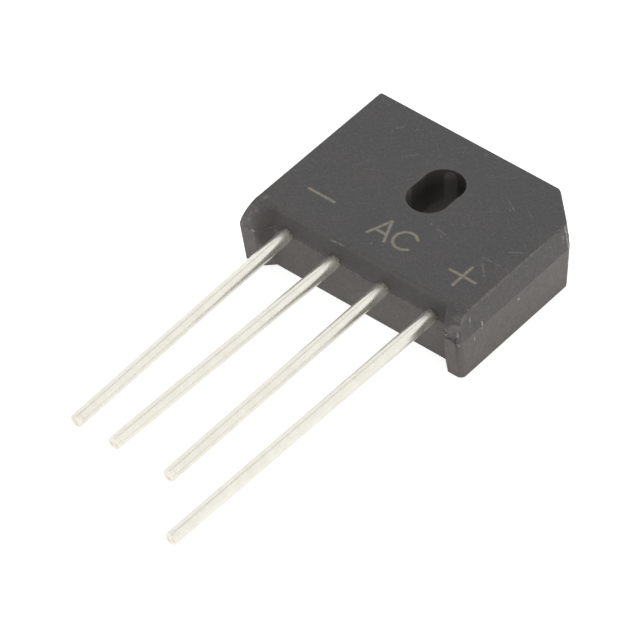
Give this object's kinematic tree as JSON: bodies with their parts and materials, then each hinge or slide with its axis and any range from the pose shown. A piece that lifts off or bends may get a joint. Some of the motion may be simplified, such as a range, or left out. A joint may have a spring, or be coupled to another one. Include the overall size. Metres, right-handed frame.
{
  "type": "bridge rectifier",
  "caption": "Flat dark moulded block with a screw slot, one cut corner and two short feet, and a row of long round tinned leads.",
  "frame": {"origin": "axis of the screw in its slot, midway between the leads, in the plane of the flat back face", "axes": "+Z from the back face to the marked front face, -Y along the leads, +X towards the positive lead and the cut corner"},
  "size_m": [0.023, 0.0496, 0.0067],
  "materials": {
    "epoxy": "matt moulded epoxy compound with a faint grain",
    "tinned_wire": "bright dipped tin over copper wire",
    "copper": "plain stamped copper",
    "silicon": "smooth dark silicon"
  },
  "bodies": {
    "root": {"moulded_body": "epoxy", "negative_lead": "tinned_wire", "ac_lead_left": "tinned_wire", "ac_lead_right": "tinned_wire", "positive_lead": "tinned_wire", "negative_plate": "copper", "ac_plate_left": "copper", "ac_plate_right": "copper", "positive_plate": "copper", "die_negative_left": "silicon", "die_negative_right": "silicon", "die_positive_left": "silicon", "die_positive_right": "silicon"}
  },
  "joints": []
}
